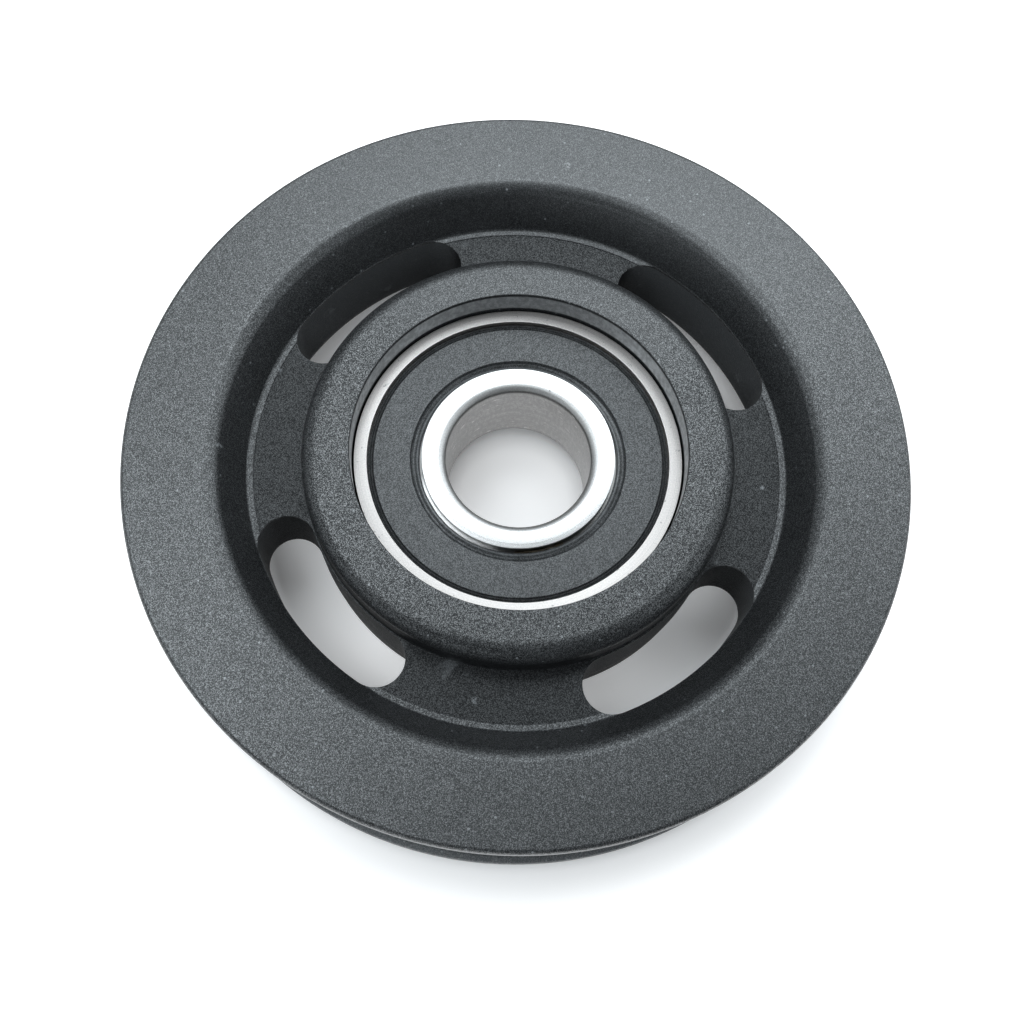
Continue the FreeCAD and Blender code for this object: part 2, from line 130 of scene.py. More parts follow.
# Side on which the neck gap is left lit, free of painted shade.
LIT_NECK_SIDE = 232.0
SHADOW_SIDE = 292.0

# Roughness of the ground rings between their marks.
OUTER_ROUGHNESS = 0.44
INNER_ROUGHNESS = 0.26

IMAGE_SIZE = 1024
SENSOR_MM = 36.0
CLIP_START = 0.005
CLIP_END = 20.0
SMOOTH_ANGLE = math.radians(24.0)
SAME_PLACE = 2e-6
RACE_STEPS = 16
CUTTER_REACH = 1.3
SLOT_ARC_STEPS = 36
SLOT_END_STEPS = 30
GREASE_STEPS = 110


def length(name, millimetres, description):
    """A size property, given in millimetres and kept in metres."""
    return FloatProperty(
        name=name,
        description=description,
        default=millimetres * MM,
        unit="LENGTH",
        subtype="DISTANCE",
        precision=5,
    )


def angle(name, degrees, description):
    """An angle property, given in degrees and kept in radians."""
    return FloatProperty(
        name=name,
        description=description,
        default=math.radians(degrees),
        unit="ROTATION",
        subtype="ANGLE",
    )


def colour(name, rgb, description):
    """A colour property, in linear light."""
    return FloatVectorProperty(
        name=name,
        description=description,
        default=rgb,
        subtype="COLOR",
        size=3,
        min=0.0,
        max=1.0,
    )


class WheelSizes(bpy.types.PropertyGroup):
    """Sizes of the moulded wheel."""

    rim: length("Rim radius", 45.0, "Outside of the flanges")
    face: length("Face height", 9.5, "Flange and hub faces above the middle plane")
    rim_round: length("Rim rounding", 0.55, "Rounding of the flanges' outer edges")
    groove_root: length("Groove root", 36.0, "Radius at the bottom of the cable groove")
    root_round: length("Root rounding", 4.0, "Rounding at the bottom of the groove")
    groove_angle: angle("Groove wall angle", 30.0, "Groove wall from the middle plane")
    lip_round: length("Lip rounding", 0.35, "Rounding where the groove meets the outside")
    dish_mouth: length("Dish mouth", 34.7, "Corner between the dish wall and the flange face")
    mouth_round: length("Mouth rounding", 2.0, "Rounding of that corner")
    dish_foot: length("Dish foot", 31.8, "Foot of the sloping dish wall")
    strip: length("Strip", 31.0, "Inner edge of the raised strip at the wall's foot")
    strip_rise: length("Strip rise", 0.08, "Height of the strip above the web")
    strip_round: length("Strip rounding", 0.07, "Rounding of the strip's edge")
    wall_foot_round: length("Wall foot rounding", 0.45, "Rounding between the strip and the dish wall")
    web: length("Web height", 4.25, "Web face above the middle plane")
    hub: length("Hub radius", 25.0, "Outside of the hub")
    hub_round: length("Hub rounding", 2.0, "Rounding of the hub's outer edge")
    foot_round: length("Foot rounding", 0.1, "Rounding where the hub meets the web")
    recess: length("Recess radius", 19.4, "Opening in the hub above the bearing")
    recess_round: length("Recess rounding", 0.2, "Rounding of the opening's edge")
    seat: length("Seat radius", 20.0, "Seat of the bearing in the hub")
    seat_edge: length("Seat edge", 5.2, "Height where the seat turns in over the ring")
    slot_inner: length("Slot inner radius", 25.2, "Edge of the slots nearest the hub")
    slot_outer: length("Slot outer radius", 31.8, "Edge of the slots nearest the rim")
    slot_sweep: angle("Slot sweep", 17.4, "From a slot's middle to the centre of its round end")
    slot_turn: angle("Slot turn", 45.0, "From the X axis to the first slot's middle")
    slot_break: length("Slot edge break", 0.08, "Rounding of the slots' edges")
    slot_count: IntProperty(name="Slots", description="Slots around the web", default=4, min=1)
    steps: IntProperty(name="Steps", description="Facets around the wheel", default=240, min=24)


class BearingSizes(bpy.types.PropertyGroup):
    """Sizes of the bearing's visible pieces."""

    bore: length("Bore radius", 8.5, "Bore of the inner ring")
    outside: length("Outside radius", 20.0, "Outside of the outer ring")
    face: length("Face height", 6.0, "Ring faces above the middle plane")
    outer_chamfer: length("Outer chamfer", 0.8, "Chamfer of the outer ring's outside edges")
    bore_round: length("Bore rounding", 1.0, "Rounding of the bore's edges")
    race: length("Race radius", 3.5, "Cross-section radius of both raceways")
    outer_race: length("Outer race depth", 17.6635, "Bottom of the outer raceway")
    inner_race: length("Inner race depth", 10.8365, "Bottom of the inner raceway")
    outer_land: length("Outer land", 16.4, "Land beside the outer raceway")
    mouth: length("Mouth radius", 17.7, "Inner edge of the outer ring's face")
    undercut: length("Undercut radius", 18.0, "Undercut that holds the seal's rim")
    undercut_top: length("Undercut top", 5.1, "Upper side of the undercut")
    seat: length("Seal seat", 4.4, "Seat of the seal")
    inner_face: length("Inner face radius", 11.3, "Outer edge of the inner ring's face")
    neck: length("Neck radius", 11.35, "Neck of the inner ring beside its face")
    inner_land: length("Inner land", 12.0, "Land beside the inner raceway")
    land: length("Land height", 4.7, "Land on which the seal's lip runs")
    ring_break: length("Ring edge break", 0.04, "Small rounding of the rings' edges")
    steps: IntProperty(name="Steps", description="Facets around the bearing", default=240, min=24)


class SealSizes(bpy.types.PropertyGroup):
    """Sizes of the rubber seals and of the grease at their lips."""

    flat: length("Flat height", 5.4, "Flat and tops of the rim beads above the middle plane")
    flat_edge: length("Flat edge", 16.95, "Outer edge of the flat")
    bead_foot: length("Bead foot", 0.1, "Radial run from the flat down to the first valley")
    bead_pitch: length("Bead pitch", 0.3, "Radial step from one rim bead to the next")
    lip_root: length("Lip root", 12.67, "Inner edge of the flat")
    lip: length("Lip radius", 11.6, "Inner edge of the lip")
    lip_pitch: length("Lip pitch", 0.25, "Radial step from ridge to valley")
    ridge_drop: length("Ridge drop", 0.2, "From the flat to the top of a lip ridge")
    valley_drop: length("Valley drop", 0.35, "From the flat to the valleys between ridges")
    clearance: length("Lip clearance", 0.05, "Space between the lip and the land it runs on")
    soft_edge: length("Soft edge", 0.05, "Rounding of beads and ridges")
    ragged: length("Ragged edge", 0.05, "Unevenness of the lip")
    grease_start: angle("Grease start", 274.0, "Where the grease begins, from the X axis")
    grease_sweep: angle("Grease sweep", 29.0, "How far around the grease reaches")
    grease_rise: length("Grease rise", 0.6, "Height of the grease above the land")


class FinishColours(bpy.types.PropertyGroup):
    """Colours of the finishes."""

    nylon: colour("Nylon", (0.006, 0.0063, 0.0067), "Black glass-filled nylon")
    nylon_worn: colour("Worn nylon", (0.16, 0.165, 0.17), "Scuffed and chalky nylon")
    # Painted light on the recess wall: this pale tone stands in for light that the wall catches.
    recess_wall_light: colour("Turned nylon", (0.5, 0.505, 0.51), "Nylon left pale by turning the recess")
    steel: colour("Steel", (0.765, 0.75, 0.735), "Ground bearing steel")
    outer_steel: colour("Outer ring steel", (0.72, 0.67, 0.64), "Duller ground steel of the outer ring")
    steel_dark: colour("Steel marks", (0.325, 0.318, 0.314), "Marks in the ground steel")
    # Painted shade on the bearing steel: the gap at the inner ring's neck, the outer ring's chamfer and
    # the foot of the bore.
    painted_steel_shade: colour("Grime", (0.03, 0.028, 0.025), "Old grease on steel that is out of reach")
    rubber: colour("Rubber", (0.02, 0.0205, 0.021), "Seal rubber")
    cage: colour("Cage", (0.56, 0.54, 0.5), "Pressed cage sheet")
    grease: colour("Grease", (0.035, 0.028, 0.018), "Grease at the seal lips")
    floor: colour("Floor", (0.895, 0.86, 0.843), "Studio floor")
    # The floor's glow, which also paints pools of light and shadows on it.
    floor_glow: colour("Floor glow", (0.975, 0.99, 1.0), "Light that comes through the floor")
    lamp: colour("Lamp", (0.868, 0.95, 1.0), "Cool daylight of the tent and softboxes")


class StageSettings(bpy.types.PropertyGroup):
    """Where the camera stands and how it looks."""

    aim_height: length("Aim height", 6.0, "Height of the point that the camera is set out from")
    distance: length("Camera distance", 136.48, "From that point to the camera")
    elevation: angle("Elevation", 67.493, "Camera above the horizon")
    turn: angle("Turn", 0.8, "Camera turned about the bore's axis")
    roll: angle("Roll", -5.722, "Camera rolled about its own axis")
    focal_px: FloatProperty(
        name="Focal length", description="In picture elements", default=1166.53, min=1.0
    )
    aim_px: FloatVectorProperty(
        name="Aim",
        description="Where that point lies in the picture",
        default=(518.559, 456.196),
        size=2,
    )


class Wire:
    """A socket of a node tree. Arithmetic on wires adds Math nodes."""

    def __init__(self, finish, socket):
        self.finish = finish
        self.socket = socket

    def maths(self, operation, *values):
        return self.finish.node("ShaderNodeMath", {"operation": operation}, dict(enumerate(values)))

    def __add__(self, other):
        return self.maths("ADD", self, other)

    __radd__ = __add__

    def __sub__(self, other):
        return self.maths("SUBTRACT", self, other)

    def __rsub__(self, other):
        return self.maths("SUBTRACT", other, self)

    def __mul__(self, other):
        return self.maths("MULTIPLY", self, other)

    def __truediv__(self, other):
        return self.maths("DIVIDE", self, other)

    def size(self):
        return self.maths("ABSOLUTE", self)

    def most(self, other):
        return self.maths("MAXIMUM", self, other)

    def least(self, other):
        return self.maths("MINIMUM", self, other)


class Finish:
    """A node material in the making."""

    def __init__(self, name, tree=None):
        if tree is None:
            self.material = bpy.data.materials.new(name)
            self.material.use_nodes = True
            tree = self.material.node_tree
        self.tree = tree
        self.tree.nodes.clear()
        self.place = self.node("ShaderNodeTexCoord", {}, {}, "Object")

    def node(self, kind, settings, inputs, output=0):
        """Add a node: its settings first, then the values or links of its sockets."""
        node = self.tree.nodes.new(kind)
        for key, value in settings.items():
            if key == "stops":
                self.set_stops(node.color_ramp, value)
            else:
                setattr(node, key, value)
        for key, value in inputs.items():
            socket = node.inputs[key]
            if isinstance(value, Wire):
                self.tree.links.new(value.socket, socket)
            elif isinstance(value, (tuple, list)) and len(value) == 3 and socket.type == "RGBA":
                socket.default_value = (*value, 1.0)
            else:
                socket.default_value = value
        if output is None:
            return node
        return Wire(self, node.outputs[output])

    @staticmethod
    def set_stops(ramp, stops):
        while len(ramp.elements) < len(stops):
            ramp.elements.new(0.5)
        for element, (place, level) in zip(ramp.elements, stops):
            element.position = place
            element.color = (level, level, level, 1.0)

    def vector_maths(self, operation, *values, output=0):
        settings = {"operation": operation}
        return self.node("ShaderNodeVectorMath", settings, dict(enumerate(values)), output)

    def noise(self, scale, detail=2.0, rough=0.5, vector=None):
        inputs = {"Vector": vector or self.place, "Scale": scale, "Detail": detail, "Roughness": rough}
        return self.node("ShaderNodeTexNoise", {}, inputs)

    def cells(self, scale, output):
        """Grains of that scale: the Distance from each one's middle, or a chance Color for each."""
        return self.node("ShaderNodeTexVoronoi", {}, {"Vector": self.place, "Scale": scale}, output)

    def spots(self, places):
        """Small broken marks at (x, y, reach) places, in millimetres."""
        ragged = self.band(self.noise(2600.0, 3.0, 0.7), 0.42, 0.6)
        level = self.squeeze((1.0, 1.0, 0.0))
        marks = 0.0
        for x, y, reach in places:
            away = self.vector_maths("DISTANCE", level, (x * MM, y * MM, 0.0), output=1)
            marks = (1 - self.band(away, reach * MM * 0.4, reach * MM)) + marks
        return marks * ragged

    def facing(self, degrees):
        """1 towards a direction around the bore's axis, falling to -1 away from it."""
        turn = math.radians(degrees)
        towards = (math.cos(turn), math.sin(turn), 0.0)
        return self.vector_maths("DOT_PRODUCT", self.place, towards, output=1) / self.radius()

    def ramp(self, value, *stops):
        return self.node("ShaderNodeValToRGB", {"stops": stops}, {"Fac": value})

    def band(self, value, start, end):
        """Smooth step from 0 at start to 1 at end."""
        settings = {"interpolation_type": "SMOOTHSTEP"}
        inputs = {"Value": value, "From Min": start, "From Max": end}
        return self.node("ShaderNodeMapRange", settings, inputs)

    def past(self, value, edge, start, end):
        """Smooth step from 0 to 1, from start to end millimetres past an edge."""
        return self.band(value, edge + start * MM, edge + end * MM)

    def short_of(self, value, edge, start, end):
        """Smooth step from 1 to 0, from start to end millimetres past an edge."""
        return 1 - self.past(value, edge, start, end)

    def mix(self, factor, first, second):
        """Blend two colours."""
        settings = {"data_type": "RGBA"}
        return self.node("ShaderNodeMix", settings, {0: factor, 6: first, 7: second}, 2)

    def radius(self):
        """Distance from the bore's axis."""
        return self.vector_maths("LENGTH", self.squeeze((1.0, 1.0, 0.0)), output=1)

    def axis(self, name):
        return self.node("ShaderNodeSeparateXYZ", {}, {0: self.place}, name)

    def rings(self, scale, detail=2.0):
        """Noise that runs in circles around the bore's axis."""
        inputs = {0: self.radius(), 1: self.axis("Z"), 2: 0.0}
        section = self.node("ShaderNodeCombineXYZ", {}, inputs)
        return self.noise(scale, detail, vector=section)

    def bump(self, height, distance, strength=1.0):
        inputs = {"Height": height, "Distance": distance, "Strength": strength}
        return self.node("ShaderNodeBump", {}, inputs)

    def squeeze(self, factors):
        """Object coordinates, stretched or squeezed along the axes."""
        return self.vector_maths("MULTIPLY", self.place, factors)

    def principled(self, **inputs):
        named = {key.replace("_", " "): value for key, value in inputs.items()}
        return self.node("ShaderNodeBsdfPrincipled", {}, named)

    def close(self, shader):
        self.node("ShaderNodeOutputMaterial", {}, {"Surface": shader}, None)
        return self.material

    def surface(self, **inputs):
        """End in one Principled shader."""
        return self.close(self.principled(**inputs))


def nylon_finish(colours, wheel, bearing):
    """Black glass-filled nylon: glinting grain, a plainer scuffed web, worn rim edges that also paint
    light on the lower flange, painted light on the recess wall, painted shade at its edges and at the
    hub's foot, and sheen painted by side on the strip and dish mouth.
    """
    f = Finish("glass_filled_nylon")
    black = tuple(colours.nylon)
    worn = tuple(colours.nylon_worn)
    radius = f.radius()
    height = f.axis("Z").size()
    farness = f.facing(FAR_SIDE)

    hub = f.short_of(radius, wheel.hub, -0.2, 0.4)
    hub_wall = f.past(radius, wheel.hub, -0.1, -0.02) * f.short_of(radius, wheel.hub, 0.3, 0.5)
    # Painted shade on the lower hub wall, which takes the darker web shader.
    hub_foot_shade = hub_wall * f.short_of(height, wheel.face, -2.7, -1.5)
    sunk = f.past(radius, wheel.hub, -0.3, 0.05) * f.short_of(radius, wheel.slot_outer, 0.05, 0.15)
    strip = f.past(radius, wheel.strip, -0.02, 0.2) * f.past(height, wheel.web, -0.05, 0.05)
    low = f.short_of(height, wheel.web, 0.13, 0.33)
    # The web shader also carries the painted shade at the hub's foot; the raised strip takes more of
    # the glossy face shader on the far side, as painted sheen.
    web = (sunk * low * (1 - strip * (0.55 + farness * 0.13))).most(hub_foot_shade)
    recess = f.short_of(radius, wheel.recess, 0.02, 0.1)
    # Darker along the recess wall's top edge, and painted shade at its foot beside the bearing ring.
    recess_foot = f.short_of(height, bearing.face, 0.3, 0.6)
    darker_recess_edges = recess * f.past(height, wheel.face, -0.55, -0.3).most(recess_foot)
    mouth = f.past(radius, wheel.dish_mouth, -0.3, 0.3) * f.short_of(radius, wheel.dish_mouth, 0.8, 1.3)
    # Rim edges worn lighter; the lightening is also painted light on the lower flange, which catches
    # light from the floor.
    edge = f.past(radius, wheel.rim, -1.1, -0.4) * f.short_of(height, wheel.face, -0.7, -0.3)

    speckle = f.band(f.cells(14000.0, "Color"), 0.3, 0.9)
    glint = speckle * speckle
    relief = f.noise(5200.0, 1.0, 0.5)
    haze = f.band(f.noise(110.0, 3.0, 0.55), 0.4, 0.75)
    spark = 1 - f.band(f.cells(600.0, "Distance"), 0.04, 0.11)
    mottle = f.band(f.noise(1700.0, 3.0, 0.6, vector=f.squeeze((1.0, 1.0, 0.6))), 0.35, 0.7)
    nick = f.spots(NICKS) * f.past(f.axis("Z"), wheel.web, -0.25, -0.05)

    face_wear = speckle * 0.2 + haze * 0.03 + spark * (0.4 + haze * 2.0) + edge * 0.36 + nick
    moulded = f.mix(face_wear.least(1.0), black, worn)
    # Painted light on the recess wall, mottled, and weaker on the far and near sides where less light
    # falls on it.
    recess_light = (recess - darker_recess_edges) * (0.6 + mottle * 0.4) * (1 - f.band(farness.size(), 0.7, 1.0) * 0.5)
    grain = (1 - f.band(farness, 0.3, 0.95) * 0.45) * (1 + hub * 0.4)
    # Painted shade on the dish mouth's rounding: less coat away from the sheen side, a little more
    # towards it.
    mouth_shade_by_side = mouth * (0.2 - f.facing(MOUTH_SHEEN) * 0.22)
    dulled = hub * 0.22 + recess * 0.5 + darker_recess_edges * 0.22 + edge * 0.2 + mouth_shade_by_side
    face = f.principled(
        Base_Color=f.mix(recess_light, moulded, tuple(colours.recess_wall_light)),
        Roughness=0.46 + (relief - 0.5) * 0.2,
        Coat_Weight=(0.51 + (glint - 0.32) * grain) * (1 - dulled),
        Coat_Roughness=0.4,
        Coat_IOR=2.2,
        Specular_IOR_Level=0.2,
        Normal=f.bump(relief, 0.00007, 1.0),
    )

    scuff = f.band(f.noise(330.0, 4.0, 0.7), 0.6, 0.74)
    open_side = f.past(height, wheel.web, -0.35, -0.1) * f.short_of(height, wheel.web, 0.35, 0.65)
    slot_wall = f.past(radius, wheel.slot_outer, -2.8, -0.1)
    slot_wall = slot_wall * f.short_of(height, wheel.web, -0.25, -0.05)
    web_wear = speckle * 0.16 + scuff * 0.3 + slot_wall * 0.35 + nick
    floor = f.principled(
        Base_Color=f.mix(web_wear.least(1.0), black, worn),
        Roughness=0.5 + (relief - 0.5) * 0.2,
        Coat_Weight=open_side * (0.1 + speckle * 0.6),
        Coat_Roughness=0.4,
        Coat_IOR=1.65,
        Specular_IOR_Level=0.05,
        Normal=f.bump(relief, 0.00005, 1.0),
    )
    return f.close(f.node("ShaderNodeMixShader", {}, {0: web, 1: face, 2: floor}))


def steel_finish(name, bright, rough, colours, bearing):
    """Ground bearing steel with circular grinding marks, a few dark specks, and painted shade in the
    neck gap, on the outer chamfer and at the foot of the bore.
    """
    f = Finish(name)
    radius = f.radius()
    height = f.axis("Z").size()

    bore = f.short_of(radius, bearing.bore, 0.05, 0.25)
    bore_edge = f.past(radius, bearing.bore, 0.0, 0.1) * f.short_of(radius, bearing.bore, 0.7, 1.1)
    # Painted shade: at the bore's foot, in the gap at the inner ring's neck except on one lit side, and
    # on the outer ring's chamfer beside the recess wall.
    bore_foot_shade = bore * f.short_of(f.axis("Z"), -bearing.face, 0.7, 1.1)
    neck = f.past(radius, bearing.inner_face, -0.02, 0.03)
    neck = neck * f.short_of(radius, bearing.inner_land, 1.0, 2.0)
    lit_neck = f.band(f.facing(LIT_NECK_SIDE), 0.8, 0.92)
    neck_shade = neck * f.short_of(height, bearing.face, -0.2, -0.05) * (1 - lit_neck) * 0.75
    chamfer_shade = f.past(radius, bearing.outside - bearing.outer_chamfer, -0.08, 0.02)
    steel_shade_mask = neck_shade.most(chamfer_shade).most(bore_foot_shade * 0.75)

    marks = f.band(f.rings(9000.0, 3.0), 0.36, 0.64)
    broad = f.rings(1500.0, 2.0)
    specks = f.band(f.noise(1900.0, 2.0, 0.6), 0.68, 0.74)
    grit = f.band(f.noise(6000.0, 2.0, 0.6), 0.3, 0.7)
    honing = f.band(f.noise(2600.0, 4.0, 0.65, vector=f.squeeze((1.0, 1.0, 0.4))), 0.34, 0.66)
    drag = f.band(f.noise(2400.0, 2.0, 0.5, vector=f.squeeze((0.25, 0.25, 1.0))), 0.66, 0.76)
    ground = (1 - marks) * 0.3 + (1 - broad) * 0.1 + grit * 0.25 + specks * 0.5
    honed = bore * (0.5 + honing * 0.25 - drag)
    clean = f.mix((ground + honed).least(1.0), tuple(bright), tuple(colours.steel_dark))
    return f.surface(
        Base_Color=f.mix(steel_shade_mask, clean, tuple(colours.painted_steel_shade)),
        Roughness=rough + marks * 0.12 + specks * 0.15 + bore * 0.08 + bore_edge * 0.22,
        Metallic=1.0,
        Normal=f.bump(marks, 0.000004, 0.5),
        Anisotropic=0.4,
    )


def ball_finish(colours):
    """Polished ball steel with faint lapping marks."""
    f = Finish("ball_steel")
    haze = f.noise(900.0, 4.0, 0.6)
    base = f.mix(haze * 0.2, tuple(colours.steel), tuple(colours.steel_dark))
    return f.surface(Base_Color=base, Roughness=0.06 + haze * 0.06, Metallic=1.0)


def cage_finish(colours):
    """Pressed cage sheet with drawn marks."""
    f = Finish("cage_sheet")
    drawn = f.noise(2600.0, 3.0, 0.6)
    base = f.mix(drawn * 0.5, tuple(colours.cage), tuple(colours.steel_dark))
    normal = f.bump(drawn, 0.00001, 0.4)
    return f.surface(Base_Color=base, Roughness=0.3 + drawn * 0.15, Metallic=1.0, Normal=normal)


def rubber_finish(colours, seal):
    """Seal rubber, dusty and mottled, wet with grease towards the worn lip."""
    f = Finish("seal_rubber")
    mottle = f.noise(700.0, 4.0, 0.6)
    speckle = f.band(f.cells(12000.0, "Color"), 0.3, 0.9)
    radius = f.radius()
    lip = f.short_of(radius, seal.lip, 0.3, 0.4)
    dust = f.band(mottle, 0.45, 0.7) * 0.1 + speckle * 0.3 + lip * 0.3
    base = f.mix(dust, tuple(colours.rubber), tuple(colours.nylon_worn))
    wet = f.short_of(radius, seal.lip_root, -0.37, 0.23)
    return f.surface(
        Base_Color=base,
        Roughness=0.48 + (mottle - 0.5) * 0.2 - wet * 0.18,
        Coat_Weight=speckle * 0.6 + lip * 0.4,
        Coat_Roughness=0.4,
        Coat_IOR=1.8,
        Specular_IOR_Level=0.4,
        Normal=f.bump(mottle, 0.00004, 0.35),
    )


def grease_finish(colours):
    """Wet dark grease."""
    f = Finish("lip_grease")
    lumps = f.noise(1500.0, 3.0, 0.6)
    base = f.mix(lumps, tuple(colours.grease), tuple(value * 2.5 for value in colours.grease))
    normal = f.bump(lumps, 0.0001, 0.6)
    return f.surface(Base_Color=base, Roughness=0.25 + lumps * 0.1, Normal=normal)


def spin_section(corners, steps):
    """Turn a closed cross-section of (radius, height) corners around the Z axis."""
    bm = bmesh.new()
    verts = [bm.verts.new((radius, 0.0, height)) for radius, height in corners]
    edges = []
    for place, vert in enumerate(verts):
        edges.append(bm.edges.new((vert, verts[(place + 1) % len(verts)])))
    bmesh.ops.spin(
        bm,
        geom=verts + edges,
        cent=(0.0, 0.0, 0.0),
        axis=(0.0, 0.0, 1.0),
        angle=math.tau,
        steps=steps,
        use_merge=True,
    )
    bmesh.ops.remove_doubles(bm, verts=bm.verts, dist=SAME_PLACE / 10)
    bmesh.ops.recalc_face_normals(bm, faces=bm.faces)
    return bm


def round_ring(bm, radius, height, offset, segments):
    """Round the circular edges at a radius, above and below the middle plane."""

    def at_place(vert):
        at_radius = abs(math.hypot(vert.co.x, vert.co.y) - radius) < SAME_PLACE
        return at_radius and abs(abs(vert.co.z) - height) < SAME_PLACE

    def on_ring(edge):
        first, second = edge.verts
        is_level = abs(first.co.z - second.co.z) < SAME_PLACE
        return is_level and at_place(first) and at_place(second)

    ring = [edge for edge in bm.edges if on_ring(edge)]
    if not ring:
        raise RuntimeError(f"no edge at radius {radius:.5f} and height {height:.5f}")
    bmesh.ops.bevel(
        bm,
        geom=ring,
        offset=offset,
        offset_type="OFFSET",
        affect="EDGES",
        segments=segments,
        profile=0.5,
        material=-1,
    )


def make_piece(name, bm, material, body, node=None):
    """Turn a bmesh into a smooth-shaded piece that rides on a body."""
    mesh = bpy.data.meshes.new(name)
    bm.to_mesh(mesh)
    bm.free()
    piece = bpy.data.objects.new(name, mesh)
    bpy.context.scene.collection.objects.link(piece)
    mesh.materials.append(material)
    shade(mesh)
    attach(piece, body)
    if node:
        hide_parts(node)
    return piece


def shade(mesh):
    """Shade smooth across all but the sharp edges."""
    mesh.polygons.foreach_set("use_smooth", [True] * len(mesh.polygons))
    mesh.set_sharp_from_angle(angle=SMOOTH_ANGLE)


def apply_modifiers(piece):
    """Replace the piece's mesh by its finished one."""
    graph = bpy.context.evaluated_depsgraph_get()
    mesh = bpy.data.meshes.new_from_object(piece.evaluated_get(graph))
    old = piece.data
    piece.modifiers.clear()
    piece.data = mesh
    bpy.data.meshes.remove(old)
    shade(mesh)


def weigh_normals(piece):
    """Keep flat faces flat beside rounded edges."""
    weighted = piece.modifiers.new("even_shading", "WEIGHTED_NORMAL")
    weighted.keep_sharp = True


def wheel_corners(s, apex, lip):
    """Cross-section of the wheel with sharp corners; the groove's walls meet at the apex."""
    upper = [
        (s.seat, s.seat_edge),
        (s.recess, s.seat_edge + s.seat - s.recess),
        (s.recess, s.face),
        (s.hub, s.face),
        (s.hub, s.web),
        (s.strip, s.web),
        (s.strip, s.web + s.strip_rise),
        (s.dish_foot, s.web + s.strip_rise),
        (s.dish_mouth, s.face),
        (s.rim, s.face),
        (s.rim, lip),
    ]
    lower = [(radius, -height) for radius, height in reversed(upper)]
    return upper + [(apex, 0.0)] + lower


def sweep(bm, vert, centre, turn, steps):
    """Draw an arc from a vertex around an upright axis, and give back its far end."""
    made = bmesh.ops.spin(
        bm, geom=[vert], cent=centre, axis=(0.0, 0.0, 1.0), angle=turn, steps=steps, use_merge=False
    )
    return next(item for item in made["geom_last"] if isinstance(item, bmesh.types.BMVert))


def slot_cutter(s):
    """Upright kidney-shaped blocks, one for each slot."""
    bm = bmesh.new()
    middle = (s.slot_inner + s.slot_outer) / 2
    depth = s.face * CUTTER_REACH
    for place in range(s.slot_count):
        turn = s.slot_turn + math.tau * place / s.slot_count
        start = turn - s.slot_sweep
        end = turn + s.slot_sweep
        first_end = (middle * math.cos(start), middle * math.sin(start), -depth)
        last_end = (middle * math.cos(end), middle * math.sin(end), -depth)
        axis = (0.0, 0.0, -depth)
        first = bm.verts.new((s.slot_outer * math.cos(start), s.slot_outer * math.sin(start), -depth))
        vert = sweep(bm, first, axis, s.slot_sweep * 2, SLOT_ARC_STEPS)
        vert = sweep(bm, vert, last_end, math.pi, SLOT_END_STEPS)
        vert = sweep(bm, vert, axis, -s.slot_sweep * 2, SLOT_ARC_STEPS)
        sweep(bm, vert, first_end, math.pi, SLOT_END_STEPS)
    bmesh.ops.remove_doubles(bm, verts=bm.verts, dist=SAME_PLACE)
    bmesh.ops.edgeloop_fill(bm, edges=bm.edges)
    made = bmesh.ops.extrude_face_region(bm, geom=bm.faces[:])
    top = [item for item in made["geom"] if isinstance(item, bmesh.types.BMVert)]
    bmesh.ops.translate(bm, verts=top, vec=(0.0, 0.0, depth * 2))
    bmesh.ops.recalc_face_normals(bm, faces=bm.faces)
    return bm


def cut_slots(piece, s):
    """Cut the slots through the web and break the sharp edges."""
    mesh = bpy.data.meshes.new("slot_cutter")
    bm = slot_cutter(s)
    bm.to_mesh(mesh)
    bm.free()
    cutter = bpy.data.objects.new("slot_cutter", mesh)
    bpy.context.scene.collection.objects.link(cutter)
    cut = piece.modifiers.new("slots", "BOOLEAN")
    cut.operation = "DIFFERENCE"
    cut.solver = "EXACT"
    cut.object = cutter
    apply_modifiers(piece)
    bpy.data.objects.remove(cutter)
    bpy.data.meshes.remove(mesh)
    break_slot_edges(piece.data, s)


def break_slot_edges(mesh, s):
    """Round the edges between the slots' walls and the faces that they were cut through."""
    bm = bmesh.new()
    bm.from_mesh(mesh)
    inner_limit = s.slot_inner * 1.004
    outer_limit = s.slot_outer * 1.01

    def is_wall(face):
        heights = [vert.co.z for vert in face.verts]
        radius = math.hypot(*face.calc_center_median().xy)
        through = max(heights) - min(heights) > s.web
        return through and s.hub < radius < outer_limit

    walls = {face for face in bm.faces if is_wall(face)}
    edges = []
    for edge in bm.edges:
        sides = [face in walls for face in edge.link_faces]
        clear_of_hub = all(math.hypot(*vert.co.xy) > inner_limit for vert in edge.verts)
        if len(sides) == 2 and sides[0] != sides[1] and clear_of_hub:
            edges.append(edge)
    if not edges:
        raise RuntimeError("the slots have no edges to round")
    bmesh.ops.bevel(
        bm,
        geom=edges,
        offset=s.slot_break,
        offset_type="OFFSET",
        affect="EDGES",
        segments=3,
        profile=0.5,
        material=-1,
        clamp_overlap=True,
    )
    bm.to_mesh(mesh)
    bm.free()
    shade(mesh)


